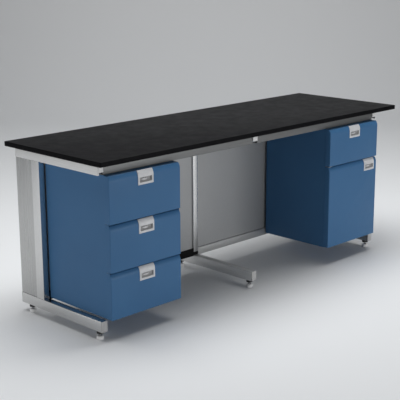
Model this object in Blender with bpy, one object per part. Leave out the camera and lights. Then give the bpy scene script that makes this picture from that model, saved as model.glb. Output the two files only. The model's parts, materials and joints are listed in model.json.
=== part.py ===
"""Instructor's desk: a worktop on three cantilever C-frames, with two suspended steel pedestals.

Metres, +Z up, +X along the desk from the drawer end to the cupboard end, +Y towards the back.
The origin is on the floor under the centre of the desk's overall footprint, handles included.
Driving positions are given from the worktop's left front corner (x to the right, y to the back, z
up from the floor); frame_point() moves them into the frame.
"""

import math

import bmesh
import bpy
from mathutils import Matrix, Vector

# ---------------------------------------------------------------- driving dimensions (metres)
GAP = 0.0003  # joint clearance between pieces that touch
SHEET = 0.0015  # folded steel sheet
TUBE_WALL = 0.002

TOP_LENGTH = 2.400
TOP_DEPTH = 0.776
TOP_HEIGHT = 0.900
TOP_THICKNESS = 0.025
TOP_EDGE_BREAK = 0.002
UNDER_TOP = TOP_HEIGHT - TOP_THICKNESS - GAP

# C-frames
LEG_WIDTH = 0.037
LEG_X = {"left": 0.0, "middle": 1.0945, "right": 2.1960}  # left face of each C-frame
FRAME_FRONT = 0.025
FRAME_BACK = 0.682

ARM_BOTTOM = 0.845
ARM_COVER_BOTTOM = 0.833
ARM_COVER_THICKNESS = 0.011
ARM_SLOT_INSET = 0.010  # of the slot under the arm, from its sides, its back and the column

COLUMN_FRONT = 0.4877
COLUMN_BACK = COLUMN_FRONT + 0.061  # of the front tube; the cover stands behind it
COLUMN_COVER_INSET = 0.002
COLUMN_BLOCK_DROP = 0.012  # of the block at an outer column's top, below the arm cover

FOOT_BOTTOM = 0.0444
FOOT_TOP = 0.1010
FOOT_OPENING_SIDE = 0.008  # rim beside, in front of and behind the opening in the foot's top
FOOT_OPENING_FRONT = 0.010
FOOT_OPENING_BACK = 0.015

# Levellers
LEVELLER_Y = {"front": FRAME_FRONT + 0.036, "rear": 0.613}
LEVELLER_PAD_R = LEG_WIDTH / 2  # no wider than the leg above it
LEVELLER_PAD_H = 0.020
LEVELLER_PAD_EDGE = 0.002
LEVELLER_SHOULDER = 0.004
LEVELLER_STEM_R = 0.005
LEVELLER_STEM_TOP = 0.088
LEVELLER_HOLE_R = 0.0055
LEVELLER_HOLE_BELOW = 0.005  # reach of the hole's cutter below and above the foot's underside
LEVELLER_HOLE_ABOVE = 0.007

# Rails and back panels
RAIL_DEPTH = 0.030
RAIL_BOTTOM = 0.8300
LOWER_RAIL_BOTTOM = 0.0940
LOWER_RAIL_TOP = 0.1380
RAILS = (  # name, front, bottom, top
    ("front_rail", 0.031, RAIL_BOTTOM, UNDER_TOP),
    ("hanging_rail", 0.440, RAIL_BOTTOM, UNDER_TOP),
    ("lower_rail", 0.4885, LOWER_RAIL_BOTTOM, LOWER_RAIL_TOP),
)
PANEL_FRONT = 0.499
PANEL_DEPTH = 0.012

# Drawer fronts and door
FRONT_PLANE = -0.015  # outer face of the drawer fronts and the door
FRONT_BACK = FRONT_PLANE + 0.035  # their open back
FRONT_WIDTH = 0.467
FRONT_OVERLAP = 0.003  # a front stands this far past its carcass on each side
FRONT_GAP = 0.007  # between one front and the next above it
FRONT_TOP = 0.828
ROLL_RADIUS = 0.045  # of the curve at the top of a front
ROLL_ANGLE = math.radians(44.0)  # how far round the curve goes before the flat top
ROLL_STEPS = 7
ROLL_RISE = ROLL_RADIUS * math.sin(ROLL_ANGLE)
ROLL_CENTRE_Y = FRONT_PLANE + ROLL_RADIUS

# Pedestals
LEFT_PEDESTAL_X = 0.0355  # left edge of the fronts
RIGHT_PEDESTAL_X = LEG_X["right"] - FRONT_WIDTH
LEFT_SPLITS = (0.5840, 0.3420)  # tops of the second and third drawer fronts
RIGHT_SPLIT = 0.6020  # top of the door
DIVIDER_Z = RIGHT_SPLIT + FRONT_GAP / 2  # middle of the fixed shelf between drawer and cupboard
DIVIDER_BOTTOM = DIVIDER_Z - SHEET / 2

CARCASS_FRONT = 0.0225
CARCASS_BACK = 0.4815
PEDESTAL_BOTTOM = 0.108
CARCASS_TOP = RAIL_BOTTOM - GAP

# Drawer boxes and slides
LINER_FRONT = FRONT_BACK + GAP  # the liner closes the open back of a front
LINER_THICKNESS = 0.0012
LINER_INSET = 0.0005
BOX_WALL = 0.0012
BOX_BACK = 0.452
BOX_HEIGHT = 0.180
BOX_FLOOR_UP = 0.018  # underside of a drawer box above the lower edge of its front
RUNNER_FRONT = CARCASS_FRONT + 0.004
RUNNER_CLEARANCE = 0.0006
SLIDE_FRONT = CARCASS_FRONT + 0.001
SLIDE_BACK = BOX_BACK + 0.004
SLIDE_WIDTH = 0.0125
SLIDE_HEIGHT = 0.036
SLIDE_WALL = 0.0015
SLIDE_UP = 0.060  # underside of a slide above the lower edge of its front

# Handles
HANDLE_WIDTH = 0.101
HANDLE_HEIGHT = 0.071
HANDLE_SKIN = 0.0024
HANDLE_ROLL_ANGLE = math.radians(43.0)
HANDLE_ROLL_STEPS = ROLL_STEPS - 1
POCKET_WIDTH = 0.081
POCKET_BOTTOM = 0.011  # above the lower edge of the handle
POCKET_HEIGHT = 0.0265
POCKET_DEPTH = 0.012
DOOR_HANDLE_INSET = 0.026  # from the free edge of the door

# Door and its pivots
BRACKET_THICKNESS = 0.0015
BRACKET_MARGIN = 0.008  # from the pivot axis to the bracket's left and front edges
BRACKET_RIGHT = 0.022  # from the pivot axis to the bracket's right edge
DOOR_BOTTOM = PEDESTAL_BOTTOM + BRACKET_THICKNESS + 0.0007
DOOR_LINER_INSET = 0.006  # the liner stops short of the hinge edge, so it clears the case
PIVOT_X = RIGHT_PEDESTAL_X + 0.0125
PIVOT_Y = FRONT_PLANE + 0.0175
PIN_R = 0.003
PIN_LENGTH = 0.007  # inside the bush
PIN_ROOT = 0.001  # inside the bracket
BUSH_R = 0.005
BUSH_HOLE_R = 0.0033
BUSH_LENGTH = 0.009
BUSH_PROUD = 0.0002  # how far a bush stands out of the door's top or bottom
BUSH_SEAT_OVERCUT = 0.004

# Cupboard shelf and door catch
SHELF_FRONT = CARCASS_FRONT + 0.008
SHELF_Z = 0.330
SHELF_THICKNESS = 0.018
CATCH_INSET = 0.050  # middle of the catch from the inner right side of the case
CATCH_PARTS = (  # half width, front and back behind the carcass front, height
    (0.020, 0.002, 0.017, 0.012),  # body
    (0.030, 0.006, 0.014, 0.002),  # flange under the divider
)

# Shaping
OVERCUT = 0.010  # how far a cut runs out through an open side
THIN_OVERCUT = 0.001  # how far an opening's cut runs past a wall
TURNED_STEPS = 20
SHARP_ANGLE = math.radians(35)

# Looks
RESIN = dict(colour=(0.030, 0.030, 0.035), roughness=0.45, metallic=0.0)
SILVER = dict(colour=(0.46, 0.46, 0.46), roughness=0.35, metallic=0.7)
PANEL = dict(colour=(0.33, 0.34, 0.34), roughness=0.40, metallic=0.5)
BLACK = dict(colour=(0.008, 0.008, 0.009), roughness=0.50, metallic=0.0)
BLUE = dict(colour=(0.045, 0.125, 0.240), roughness=0.38, metallic=0.0)
PLASTIC = dict(colour=(0.60, 0.60, 0.60), roughness=0.40, metallic=0.0)
ZINC = dict(colour=(0.55, 0.56, 0.57), roughness=0.30, metallic=1.0)
STEEL = dict(colour=(0.40, 0.41, 0.42), roughness=0.35, metallic=1.0)
NYLON = dict(colour=(0.70, 0.70, 0.66), roughness=0.50, metallic=0.0)


# ---------------------------------------------------------------- scene and objects
def frame_point(x, y, z):
    """A driving position, moved into the frame centred on the desk's footprint."""
    footprint_front = FRONT_PLANE - GAP - HANDLE_SKIN
    return (x - TOP_LENGTH / 2, y - (TOP_DEPTH + footprint_front) / 2, z)


def reset_scene():
    for old in list(bpy.data.objects):
        bpy.data.objects.remove(old, do_unlink=True)
    units = bpy.context.scene.unit_settings
    units.system = "METRIC"
    units.scale_length = 1.0


def material(name, colour, roughness, metallic):
    mat = bpy.data.materials.new(name)
    mat.use_nodes = True
    shader = mat.node_tree.nodes["Principled BSDF"]
    shader.inputs["Base Color"].default_value = (*colour, 1.0)
    shader.inputs["Roughness"].default_value = roughness
    shader.inputs["Metallic"].default_value = metallic
    mat.diffuse_color = (*colour, 1.0)
    return mat


def link_shape(name, shape):
    """Turn a bmesh into a linked object and free it."""
    mesh = bpy.data.meshes.new(name)
    shape.to_mesh(mesh)
    shape.free()
    obj = bpy.data.objects.new(name, mesh)
    bpy.context.scene.collection.objects.link(obj)
    return obj


def add_object(name, shape, look, parent=None, smooth=False):
    """One named object from a bmesh; a moving piece has its origin on its joint's axis."""
    obj = link_shape(name, shape)
    mesh = obj.data
    if parent is not None:
        mesh.transform(Matrix.Translation(-parent.location))
        obj.parent = parent
    mesh.materials.append(material(name, **look))
    if smooth:
        mesh.shade_smooth()
        mesh.set_sharp_from_angle(angle=SHARP_ANGLE)
    return obj


def joint_empty(name, x, y, z):
    """An empty on the axis of a moving assembly; the pieces that move together hang on it."""
    empty = bpy.data.objects.new(name, None)
    empty.empty_display_size = 0.03
    bpy.context.scene.collection.objects.link(empty)
    empty.location = Vector(frame_point(x, y, z))
    return empty


def add_boolean(obj, modifier_name, operation, helper_name, helper_shape):
    """Cut or join a shape, kept as a hidden helper object."""
    helper = link_shape(helper_name, helper_shape)
    helper.hide_render = True
    helper.display_type = "WIRE"
    modifier = obj.modifiers.new(modifier_name, "BOOLEAN")
    modifier.operation = operation
    modifier.solver = "EXACT"
    modifier.object = helper


def cut(obj, helper_name, helper_shape):
    add_boolean(obj, "cut_" + helper_name, "DIFFERENCE", helper_name, helper_shape)


# ---------------------------------------------------------------- square-cut shapes
# A box is (left, right, front, back, bottom, top).
BOX_SIDES = ("left", "right", "front", "back", "bottom", "top")

# Step to the neighbouring cell, and the corners of the face between, seen from outside.
CELL_FACES = {
    (-1, 0, 0): ((0, 0, 0), (0, 0, 1), (0, 1, 1), (0, 1, 0)),
    (1, 0, 0): ((1, 0, 0), (1, 1, 0), (1, 1, 1), (1, 0, 1)),
    (0, -1, 0): ((0, 0, 0), (1, 0, 0), (1, 0, 1), (0, 0, 1)),
    (0, 1, 0): ((0, 1, 0), (0, 1, 1), (1, 1, 1), (1, 1, 0)),
    (0, 0, -1): ((0, 0, 0), (0, 1, 0), (1, 1, 0), (1, 0, 0)),
    (0, 0, 1): ((0, 0, 1), (1, 0, 1), (1, 1, 1), (0, 1, 1)),
}


def inside_of(box, wall, open_sides=()):
    """The room inside a box: a wall in from each closed side, and out through each open one."""
    room = []
    for number, (side, value) in enumerate(zip(BOX_SIDES, box)):
        inset = -OVERCUT if side in open_sides else wall
        room.append(value + inset if number % 2 == 0 else value - inset)
    return tuple(room)


def box_set(adds, cuts=(), late=()):
    """Square-cut solid: the added boxes, less the cuts, plus the late boxes.

    The boxes' planes divide space into cells; the solid is the outside of the filled cells.
    """
    planes = [
        sorted({round(box[2 * axis + end], 7) for box in (*adds, *cuts, *late) for end in (0, 1)})
        for axis in range(3)
    ]

    def filled(cell):
        middle = [(planes[axis][n] + planes[axis][n + 1]) / 2 for axis, n in enumerate(cell)]

        def within(boxes):
            return any(
                all(box[2 * axis] < middle[axis] < box[2 * axis + 1] for axis in range(3))
                for box in boxes
            )

        return within(late) or (within(adds) and not within(cuts))

    cells = {
        (i, j, k)
        for i in range(len(planes[0]) - 1)
        for j in range(len(planes[1]) - 1)
        for k in range(len(planes[2]) - 1)
        if filled((i, j, k))
    }
    shape = bmesh.new()
    corners = {}

    def corner(i, j, k):
        if (i, j, k) not in corners:
            position = frame_point(planes[0][i], planes[1][j], planes[2][k])
            corners[i, j, k] = shape.verts.new(position)
        return corners[i, j, k]

    for i, j, k in sorted(cells):
        for (step_i, step_j, step_k), quad in CELL_FACES.items():
            if (i + step_i, j + step_j, k + step_k) not in cells:
                shape.faces.new([corner(i + a, j + b, k + c) for a, b, c in quad])
    bmesh.ops.dissolve_limit(
        shape, angle_limit=0.001, verts=list(shape.verts), edges=list(shape.edges)
    )
    return shape


def hollow_box(box, wall, open_sides=()):
    return box_set([box], [inside_of(box, wall, open_sides)])


# ---------------------------------------------------------------- turned shapes
def join_loops(shape, first, second):
    """Band of quads between two closed loops whose corners are given in the same order."""
    for n in range(len(first)):
        m = (n + 1) % len(first)
        shape.faces.new((first[n], first[m], second[m], second[n]))


def turned(x, y, profile, bore=None):
    """A piece turned on a vertical axis from (radius, z) pairs, bottom to top.

    bore is the radius of a through hole.
    """
    shape = bmesh.new()
    stations = list(profile)
    if bore is not None:
        stations += [(bore, profile[-1][1]), (bore, profile[0][1])]
    rings = []
    for radius, z in stations:
        ring = []
        for n in range(TURNED_STEPS):
            angle = 2 * math.pi * (n + 0.5) / TURNED_STEPS
            around_x, around_y = radius * math.cos(angle), radius * math.sin(angle)
            ring.append(shape.verts.new(frame_point(x + around_x, y + around_y, z)))
        rings.append(ring)
    for lower, upper in zip(rings, rings[1:]):
        join_loops(shape, lower, upper)
    if bore is None:
        shape.faces.new(rings[0][::-1])
        shape.faces.new(rings[-1])
    else:
        join_loops(shape, rings[-1], rings[0])
    bmesh.ops.recalc_face_normals(shape, faces=shape.faces)
    return shape


def cylinder(x, y, bottom, top, radius):
    return turned(x, y, [(radius, bottom), (radius, top)])


# ---------------------------------------------------------------- rolled fronts and handles
def roll_arc(top, out, end_angle, steps):
    """(y, z) points up the curve at the top of a front, out being the distance outside it."""
    radius = ROLL_RADIUS + out
    points = []
    for n in range(steps + 1):
        angle = end_angle * n / steps
        y = ROLL_CENTRE_Y - radius * math.cos(angle)
        points.append((y, top - ROLL_RISE + radius * math.sin(angle)))
    return points


def front_profile(bottom, top, out):
    """(y, z) points from the bottom back edge of a front, up its face and over to its top back."""
    end_angle = math.asin((ROLL_RISE + out) / (ROLL_RADIUS + out))
    return [
        (FRONT_BACK, bottom - out),
        (FRONT_PLANE - out, bottom - out),
        *roll_arc(top, out, end_angle, ROLL_STEPS),
        (FRONT_BACK, top + out),
    ]


def add_row(shape, points, x):
    return [shape.verts.new(frame_point(x, y, z)) for y, z in points]


def pocket_loop(shape, centre_x, top, y, grow):
    """The pocket's rectangle at depth y, grown on all sides; top is the top of the front."""
    left = centre_x - POCKET_WIDTH / 2 - grow
    right = centre_x + POCKET_WIDTH / 2 + grow
    pocket_bottom = top - HANDLE_HEIGHT + POCKET_BOTTOM
    low = pocket_bottom - grow
    high = pocket_bottom + POCKET_HEIGHT + grow
    corners = ((left, low), (right, low), (right, high), (left, high))
    return [shape.verts.new(frame_point(x, y, z)) for x, z in corners]


def add_skin(shape, left_row, right_row, window, window_strip):
    """Sheet between two rows, with a window in the strip that starts at the given point."""
    for n in range(len(left_row) - 1):
        strip = (left_row[n], right_row[n], right_row[n + 1], left_row[n + 1])
        if n == window_strip:
            join_loops(shape, strip, window)
        else:
            shape.faces.new(strip)


def rolled_front(name, left, bottom, top, pocket_x, parent):
    """Folded pan, open at the back, with a rolled top and a window for the handle's pocket."""
    right = left + FRONT_WIDTH
    shape = bmesh.new()
    rims = []
    windows = []
    for inset in (0.0, SHEET):
        profile = front_profile(bottom, top, -inset)
        left_row = add_row(shape, profile, left + inset)
        right_row = add_row(shape, profile, right - inset)
        window = pocket_loop(shape, pocket_x, top, FRONT_PLANE + inset, SHEET + GAP)
        add_skin(shape, left_row, right_row, window, window_strip=1)
        shape.faces.new(left_row)
        shape.faces.new(right_row)
        rims.append([left_row[0], right_row[0], right_row[-1], left_row[-1]])
        windows.append(window)
    join_loops(shape, *windows)
    join_loops(shape, *rims)
    bmesh.ops.recalc_face_normals(shape, faces=shape.faces)
    return add_object(name, shape, BLUE, parent, smooth=True)


def pocket_handle(name, centre_x, top, parent):
    """Moulded pull laid over the rolled edge; its pocket passes through the front's window."""
    shape = bmesh.new()
    pocket_back = FRONT_PLANE + POCKET_DEPTH
    skins = []
    # Outer skin with the pocket's inside, then inner skin with the pocket's outside.
    for out, grow, pocket_end in (
        (GAP + HANDLE_SKIN, 0.0, pocket_back),
        (GAP, SHEET, pocket_back + SHEET),
    ):
        face_y = FRONT_PLANE - out
        profile = [
            (face_y, top - HANDLE_HEIGHT),
            *roll_arc(top, out, HANDLE_ROLL_ANGLE, HANDLE_ROLL_STEPS),
        ]
        left_row = add_row(shape, profile, centre_x - HANDLE_WIDTH / 2)
        right_row = add_row(shape, profile, centre_x + HANDLE_WIDTH / 2)
        mouth = pocket_loop(shape, centre_x, top, face_y, grow)
        end = pocket_loop(shape, centre_x, top, pocket_end, grow)
        add_skin(shape, left_row, right_row, mouth, window_strip=0)
        join_loops(shape, mouth, end)
        shape.faces.new(end)
        skins.append(left_row + right_row[::-1])
    # The edge all round, from one skin to the other.
    join_loops(shape, *skins)
    bmesh.ops.recalc_face_normals(shape, faces=shape.faces)
    return add_object(name, shape, PLASTIC, parent, smooth=True)


# ---------------------------------------------------------------- worktop
def add_worktop():
    box = (0.0, TOP_LENGTH, 0.0, TOP_DEPTH, TOP_HEIGHT - TOP_THICKNESS, TOP_HEIGHT)
    worktop = add_object("worktop", box_set([box]), RESIN)
    edge = worktop.modifiers.new("eased_edges", "BEVEL")
    edge.width = TOP_EDGE_BREAK
    edge.segments = 2
    edge.limit_method = "ANGLE"


# ---------------------------------------------------------------- C-frames
def arm_span(side):
    """Left and right of an arm; an outer arm leaves room for its cover on the outside."""
    left = LEG_X[side]
    right = left + LEG_WIDTH
    if side == "left":
        left += ARM_COVER_THICKNESS + GAP
    elif side == "right":
        right -= ARM_COVER_THICKNESS + GAP
    return left, right


def add_arm(side):
    """Rectangular tube capped at both ends, with a slot in its underside behind the column."""
    left, right = arm_span(side)
    tube = (left, right, FRAME_FRONT, FRAME_BACK, ARM_BOTTOM, UNDER_TOP)
    slot = (
        left + ARM_SLOT_INSET,
        right - ARM_SLOT_INSET,
        COLUMN_BACK + ARM_SLOT_INSET,
        FRAME_BACK - ARM_SLOT_INSET,
        ARM_BOTTOM - OVERCUT,
        ARM_BOTTOM + TUBE_WALL + THIN_OVERCUT,
    )
    shape = box_set([tube], [inside_of(tube, TUBE_WALL), slot])
    add_object(side + "_arm", shape, SILVER)


def add_arm_cover(side):
    """Shallow channel on the outer side of an outer arm, its web outwards."""
    if side == "left":
        left = LEG_X[side]
        inner_side = "right"
    else:
        left = LEG_X[side] + LEG_WIDTH - ARM_COVER_THICKNESS
        inner_side = "left"
    right = left + ARM_COVER_THICKNESS
    box = (left, right, FRAME_FRONT, FRAME_BACK, ARM_COVER_BOTTOM, UNDER_TOP)
    add_object(side + "_arm_cover", hollow_box(box, SHEET, {inner_side}), SILVER)


def add_column(side, top):
    """Front tube of the column; an outer one has a block at its top that reaches the arm."""
    left, right = LEG_X[side], LEG_X[side] + LEG_WIDTH
    tube = (left, right, COLUMN_FRONT, COLUMN_BACK, FOOT_TOP + GAP, top)
    full_height = (left, right, COLUMN_FRONT, COLUMN_BACK, FOOT_TOP, ARM_BOTTOM)
    blocks = []
    if side != "middle":
        arm_left, arm_right = arm_span(side)
        blocks.append(
            (
                arm_left + TUBE_WALL,
                arm_right - TUBE_WALL,
                COLUMN_FRONT,
                COLUMN_BACK,
                ARM_COVER_BOTTOM - COLUMN_BLOCK_DROP,
                ARM_BOTTOM - GAP,
            )
        )
    room = inside_of(full_height, TUBE_WALL, {"bottom", "top"})
    add_object(side + "_column", box_set([tube], [room], blocks), SILVER)


def add_column_cover(side, top):
    """Channel that closes the service space behind the column's front tube."""
    box = (
        LEG_X[side] + COLUMN_COVER_INSET,
        LEG_X[side] + LEG_WIDTH - COLUMN_COVER_INSET,
        COLUMN_BACK + GAP,
        FRAME_BACK,
        FOOT_TOP + GAP,
        top,
    )
    shape = hollow_box(box, SHEET, {"front", "bottom", "top"})
    add_object(side + "_column_cover", shape, SILVER)


def add_foot(side):
    """Closed tube with an opening for services in its top, under the column's cover."""
    left, right = LEG_X[side], LEG_X[side] + LEG_WIDTH
    tube = (left, right, FRAME_FRONT, FRAME_BACK, FOOT_BOTTOM, FOOT_TOP)
    opening = (
        left + FOOT_OPENING_SIDE,
        right - FOOT_OPENING_SIDE,
        COLUMN_BACK + FOOT_OPENING_FRONT,
        FRAME_BACK - FOOT_OPENING_BACK,
        FOOT_TOP - TUBE_WALL - THIN_OVERCUT,
        FOOT_TOP + THIN_OVERCUT,
    )
    shape = box_set([tube], [inside_of(tube, TUBE_WALL), opening])
    return add_object(side + "_foot", shape, SILVER)


def add_leveller(tag, x, y, foot):
    """Round pad and stem, and the hole for the stem in the foot's underside."""
    hole_bottom = FOOT_BOTTOM - LEVELLER_HOLE_BELOW
    hole_top = FOOT_BOTTOM + LEVELLER_HOLE_ABOVE
    cut(foot, "hole_" + tag, cylinder(x, y, hole_bottom, hole_top, LEVELLER_HOLE_R))
    profile = [
        (LEVELLER_PAD_R - LEVELLER_PAD_EDGE, 0.0),
        (LEVELLER_PAD_R, LEVELLER_PAD_EDGE),
        (LEVELLER_PAD_R, LEVELLER_PAD_H - LEVELLER_PAD_EDGE),
        (LEVELLER_PAD_R - LEVELLER_PAD_EDGE, LEVELLER_PAD_H),
        (LEVELLER_STEM_R, LEVELLER_PAD_H + LEVELLER_SHOULDER),
        (LEVELLER_STEM_R, LEVELLER_STEM_TOP),
    ]
    axis = joint_empty("axis_leveller_" + tag, x, y, FOOT_BOTTOM)
    add_object("leveller_" + tag, turned(x, y, profile), ZINC, axis, smooth=True)


def add_frame(side):
    column_top = (ARM_BOTTOM if side == "middle" else ARM_COVER_BOTTOM) - GAP
    add_arm(side)
    if side != "middle":
        add_arm_cover(side)
    add_column(side, column_top)
    add_column_cover(side, column_top)
    foot = add_foot(side)
    for place, y in LEVELLER_Y.items():
        add_leveller(side + "_" + place, LEG_X[side] + LEG_WIDTH / 2, y, foot)


# ---------------------------------------------------------------- rails and back panels
def add_rails(bay, left, right):
    """C-section rails across a bay, open to the back."""
    for name, front, bottom, top in RAILS:
        box = (left, right, front, front + RAIL_DEPTH, bottom, top)
        shape = hollow_box(box, TUBE_WALL, {"left", "right", "back"})
        look = BLACK if (name, bay) == ("lower_rail", "left") else SILVER
        add_object(name + "_" + bay, shape, look)


def add_back_panel(bay, left, right):
    """Removable service panel: a shallow pan, its face forwards."""
    back = PANEL_FRONT + PANEL_DEPTH
    box = (left, right, PANEL_FRONT, back, LOWER_RAIL_TOP + GAP, UNDER_TOP)
    add_object("back_panel_" + bay, hollow_box(box, SHEET, {"back"}), PANEL)


def add_bay(bay, left_leg, right_leg):
    """Everything that spans between two neighbouring C-frames."""
    left = LEG_X[left_leg] + LEG_WIDTH + GAP
    right = LEG_X[right_leg] - GAP
    add_rails(bay, left, right)
    add_back_panel(bay, left, right)


# ---------------------------------------------------------------- pedestals
def add_carcass(name, front_x, divider=None):
    """Suspended steel case, open at the front; divider is the level of a fixed shelf.

    Returns the inner faces of its left and right sides.
    """
    left = front_x + FRONT_OVERLAP
    right = front_x + FRONT_WIDTH - FRONT_OVERLAP
    inner_left, inner_right = left + SHEET, right - SHEET
    # Floor and ceiling of each compartment in turn.
    levels = [PEDESTAL_BOTTOM + SHEET, CARCASS_TOP - SHEET]
    if divider is not None:
        levels[1:1] = (divider - SHEET / 2, divider + SHEET / 2)
    front, back = CARCASS_FRONT - OVERCUT, CARCASS_BACK - SHEET
    rooms = [
        (inner_left, inner_right, front, back, floor, ceiling)
        for floor, ceiling in zip(levels[::2], levels[1::2])
    ]
    case = (left, right, CARCASS_FRONT, CARCASS_BACK, PEDESTAL_BOTTOM, CARCASS_TOP)
    add_object(name, box_set([case], rooms), BLUE)
    return inner_left, inner_right


def add_drawer_box(name, front_x, bottom, top, case_inner, axis):
    """Open-topped box with hollow runners on its sides and the front's liner."""
    left = case_inner[0] + SLIDE_WIDTH + GAP
    right = case_inner[1] - SLIDE_WIDTH - GAP
    floor = bottom + BOX_FLOOR_UP
    box = (left, right, LINER_FRONT, BOX_BACK, floor, floor + BOX_HEIGHT)
    reach = SLIDE_WIDTH - SLIDE_WALL - RUNNER_CLEARANCE
    slide_bottom = bottom + SLIDE_UP
    runners = (
        left - reach,
        right + reach,
        RUNNER_FRONT,
        BOX_BACK,
        slide_bottom + SLIDE_WALL + RUNNER_CLEARANCE,
        slide_bottom + SLIDE_HEIGHT - SLIDE_WALL - RUNNER_CLEARANCE,
    )
    liner = (
        front_x + LINER_INSET,
        front_x + FRONT_WIDTH - LINER_INSET,
        LINER_FRONT,
        LINER_FRONT + LINER_THICKNESS,
        bottom + LINER_INSET,
        top - LINER_INSET,
    )
    rooms = [inside_of(box, BOX_WALL, {"top"}), inside_of(runners, BOX_WALL)]
    add_object(name, box_set([box, runners], rooms, [liner]), STEEL, axis)


def add_slides(prefix, bottom, case_inner):
    """The two fixed slides: channels that open towards the drawer and to the front."""
    slide_bottom = bottom + SLIDE_UP
    slide_top = slide_bottom + SLIDE_HEIGHT
    for side, left, mouth in (
        ("left", case_inner[0] + GAP, "right"),
        ("right", case_inner[1] - SLIDE_WIDTH, "left"),
    ):
        right = left + SLIDE_WIDTH - GAP
        box = (left, right, SLIDE_FRONT, SLIDE_BACK, slide_bottom, slide_top)
        shape = hollow_box(box, SLIDE_WALL, {"front", mouth})
        add_object(prefix + "_slide_" + side, shape, ZINC)


def add_drawer(prefix, front_x, bottom, top, case_inner):
    """A sliding drawer: rolled front, handle and steel box, and the slides that carry it."""
    middle_x = front_x + FRONT_WIDTH / 2
    axis = joint_empty("axis_" + prefix, middle_x, FRONT_PLANE, (bottom + top) / 2)
    rolled_front(prefix + "_front", front_x, bottom, top, middle_x, axis)
    pocket_handle(prefix + "_handle", middle_x, top, axis)
    add_drawer_box(prefix + "_box", front_x, bottom, top, case_inner, axis)
    add_slides(prefix, bottom, case_inner)


def add_left_pedestal():
    case_inner = add_carcass("left_pedestal_carcass", LEFT_PEDESTAL_X)
    tops = (FRONT_TOP, *LEFT_SPLITS)
    bottoms = (*(split + FRONT_GAP for split in LEFT_SPLITS), PEDESTAL_BOTTOM)
    for number, (bottom, top) in enumerate(zip(bottoms, tops), 1):
        add_drawer(f"left_drawer_{number}", LEFT_PEDESTAL_X, bottom, top, case_inner)


def add_right_pedestal():
    case_inner = add_carcass("right_pedestal_carcass", RIGHT_PEDESTAL_X, DIVIDER_Z)
    drawer_bottom = RIGHT_SPLIT + FRONT_GAP
    add_drawer("right_drawer", RIGHT_PEDESTAL_X, drawer_bottom, FRONT_TOP, case_inner)
    add_door()
    add_shelf(case_inner)
    add_catch(case_inner[1])


# ---------------------------------------------------------------- cupboard door on pivot pins
def add_bracket(place, plate_bottom, pin_bottom, pin_top):
    """Plate in front of the case with a pin joined to it."""
    box = (
        PIVOT_X - BRACKET_MARGIN,
        PIVOT_X + BRACKET_RIGHT,
        PIVOT_Y - BRACKET_MARGIN,
        CARCASS_FRONT - GAP,
        plate_bottom,
        plate_bottom + BRACKET_THICKNESS,
    )
    plate = add_object("door_" + place + "_pivot_bracket", box_set([box]), ZINC)
    pin = cylinder(PIVOT_X, PIVOT_Y, pin_bottom, pin_top, PIN_R)
    add_boolean(plate, "pin", "UNION", "pin_" + place, pin)


def add_bush(place, bottom, top, door, axis):
    """Bored bush on the pivot axis, and its seat in the door's panel."""
    seat_bottom, seat_top = bottom - BUSH_SEAT_OVERCUT, top + BUSH_SEAT_OVERCUT
    seat = cylinder(PIVOT_X, PIVOT_Y, seat_bottom, seat_top, BUSH_R + GAP)
    cut(door, "bush_seat_" + place, seat)
    bush = turned(PIVOT_X, PIVOT_Y, [(BUSH_R, bottom), (BUSH_R, top)], bore=BUSH_HOLE_R)
    add_object("door_" + place + "_pivot_bush", bush, NYLON, axis, smooth=True)


def add_door():
    """The door hinges at its left edge, its pivot axis under the level part of its top."""
    left, right = RIGHT_PEDESTAL_X, RIGHT_PEDESTAL_X + FRONT_WIDTH
    axis = joint_empty("axis_door", PIVOT_X, PIVOT_Y, (DOOR_BOTTOM + RIGHT_SPLIT) / 2)
    handle_x = right - DOOR_HANDLE_INSET - HANDLE_WIDTH / 2
    door = rolled_front("door_outer_panel", left, DOOR_BOTTOM, RIGHT_SPLIT, handle_x, axis)
    pocket_handle("door_handle", handle_x, RIGHT_SPLIT, axis)
    liner = (
        left + DOOR_LINER_INSET,
        right - LINER_INSET,
        LINER_FRONT,
        LINER_FRONT + LINER_THICKNESS,
        DOOR_BOTTOM + LINER_INSET,
        RIGHT_SPLIT - LINER_INSET,
    )
    add_object("door_inner_panel", box_set([liner]), BLUE, axis)

    # The upper pin hangs from a bracket whose underside is level with the divider's.
    bush_top = RIGHT_SPLIT + BUSH_PROUD
    add_bracket("upper", DIVIDER_BOTTOM, bush_top - PIN_LENGTH, DIVIDER_BOTTOM + PIN_ROOT)
    add_bush("upper", bush_top - BUSH_LENGTH, bush_top, door, axis)

    # The lower pin stands on a bracket whose underside is level with the case's.
    bush_bottom = DOOR_BOTTOM - BUSH_PROUD
    pin_bottom = PEDESTAL_BOTTOM + BRACKET_THICKNESS - PIN_ROOT
    add_bracket("lower", PEDESTAL_BOTTOM, pin_bottom, bush_bottom + PIN_LENGTH)
    add_bush("lower", bush_bottom, bush_bottom + BUSH_LENGTH, door, axis)


# ---------------------------------------------------------------- inside the cupboard
def add_shelf(case_inner):
    """Folded shelf, open underneath."""
    box = (
        case_inner[0] + GAP,
        case_inner[1] - GAP,
        SHELF_FRONT,
        CARCASS_BACK - SHEET - GAP,
        SHELF_Z,
        SHELF_Z + SHELF_THICKNESS,
    )
    add_object("cupboard_shelf", hollow_box(box, SHEET, {"bottom"}), BLUE)


def add_catch(inner_right):
    """Door catch under the divider, near the door's free edge."""
    middle_x = inner_right - CATCH_INSET
    top = DIVIDER_BOTTOM - GAP
    boxes = [
        (
            middle_x - half_width,
            middle_x + half_width,
            CARCASS_FRONT + front,
            CARCASS_FRONT + back,
            top - height,
            top,
        )
        for half_width, front, back, height in CATCH_PARTS
    ]
    add_object("door_catch", box_set(boxes), NYLON)


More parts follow.
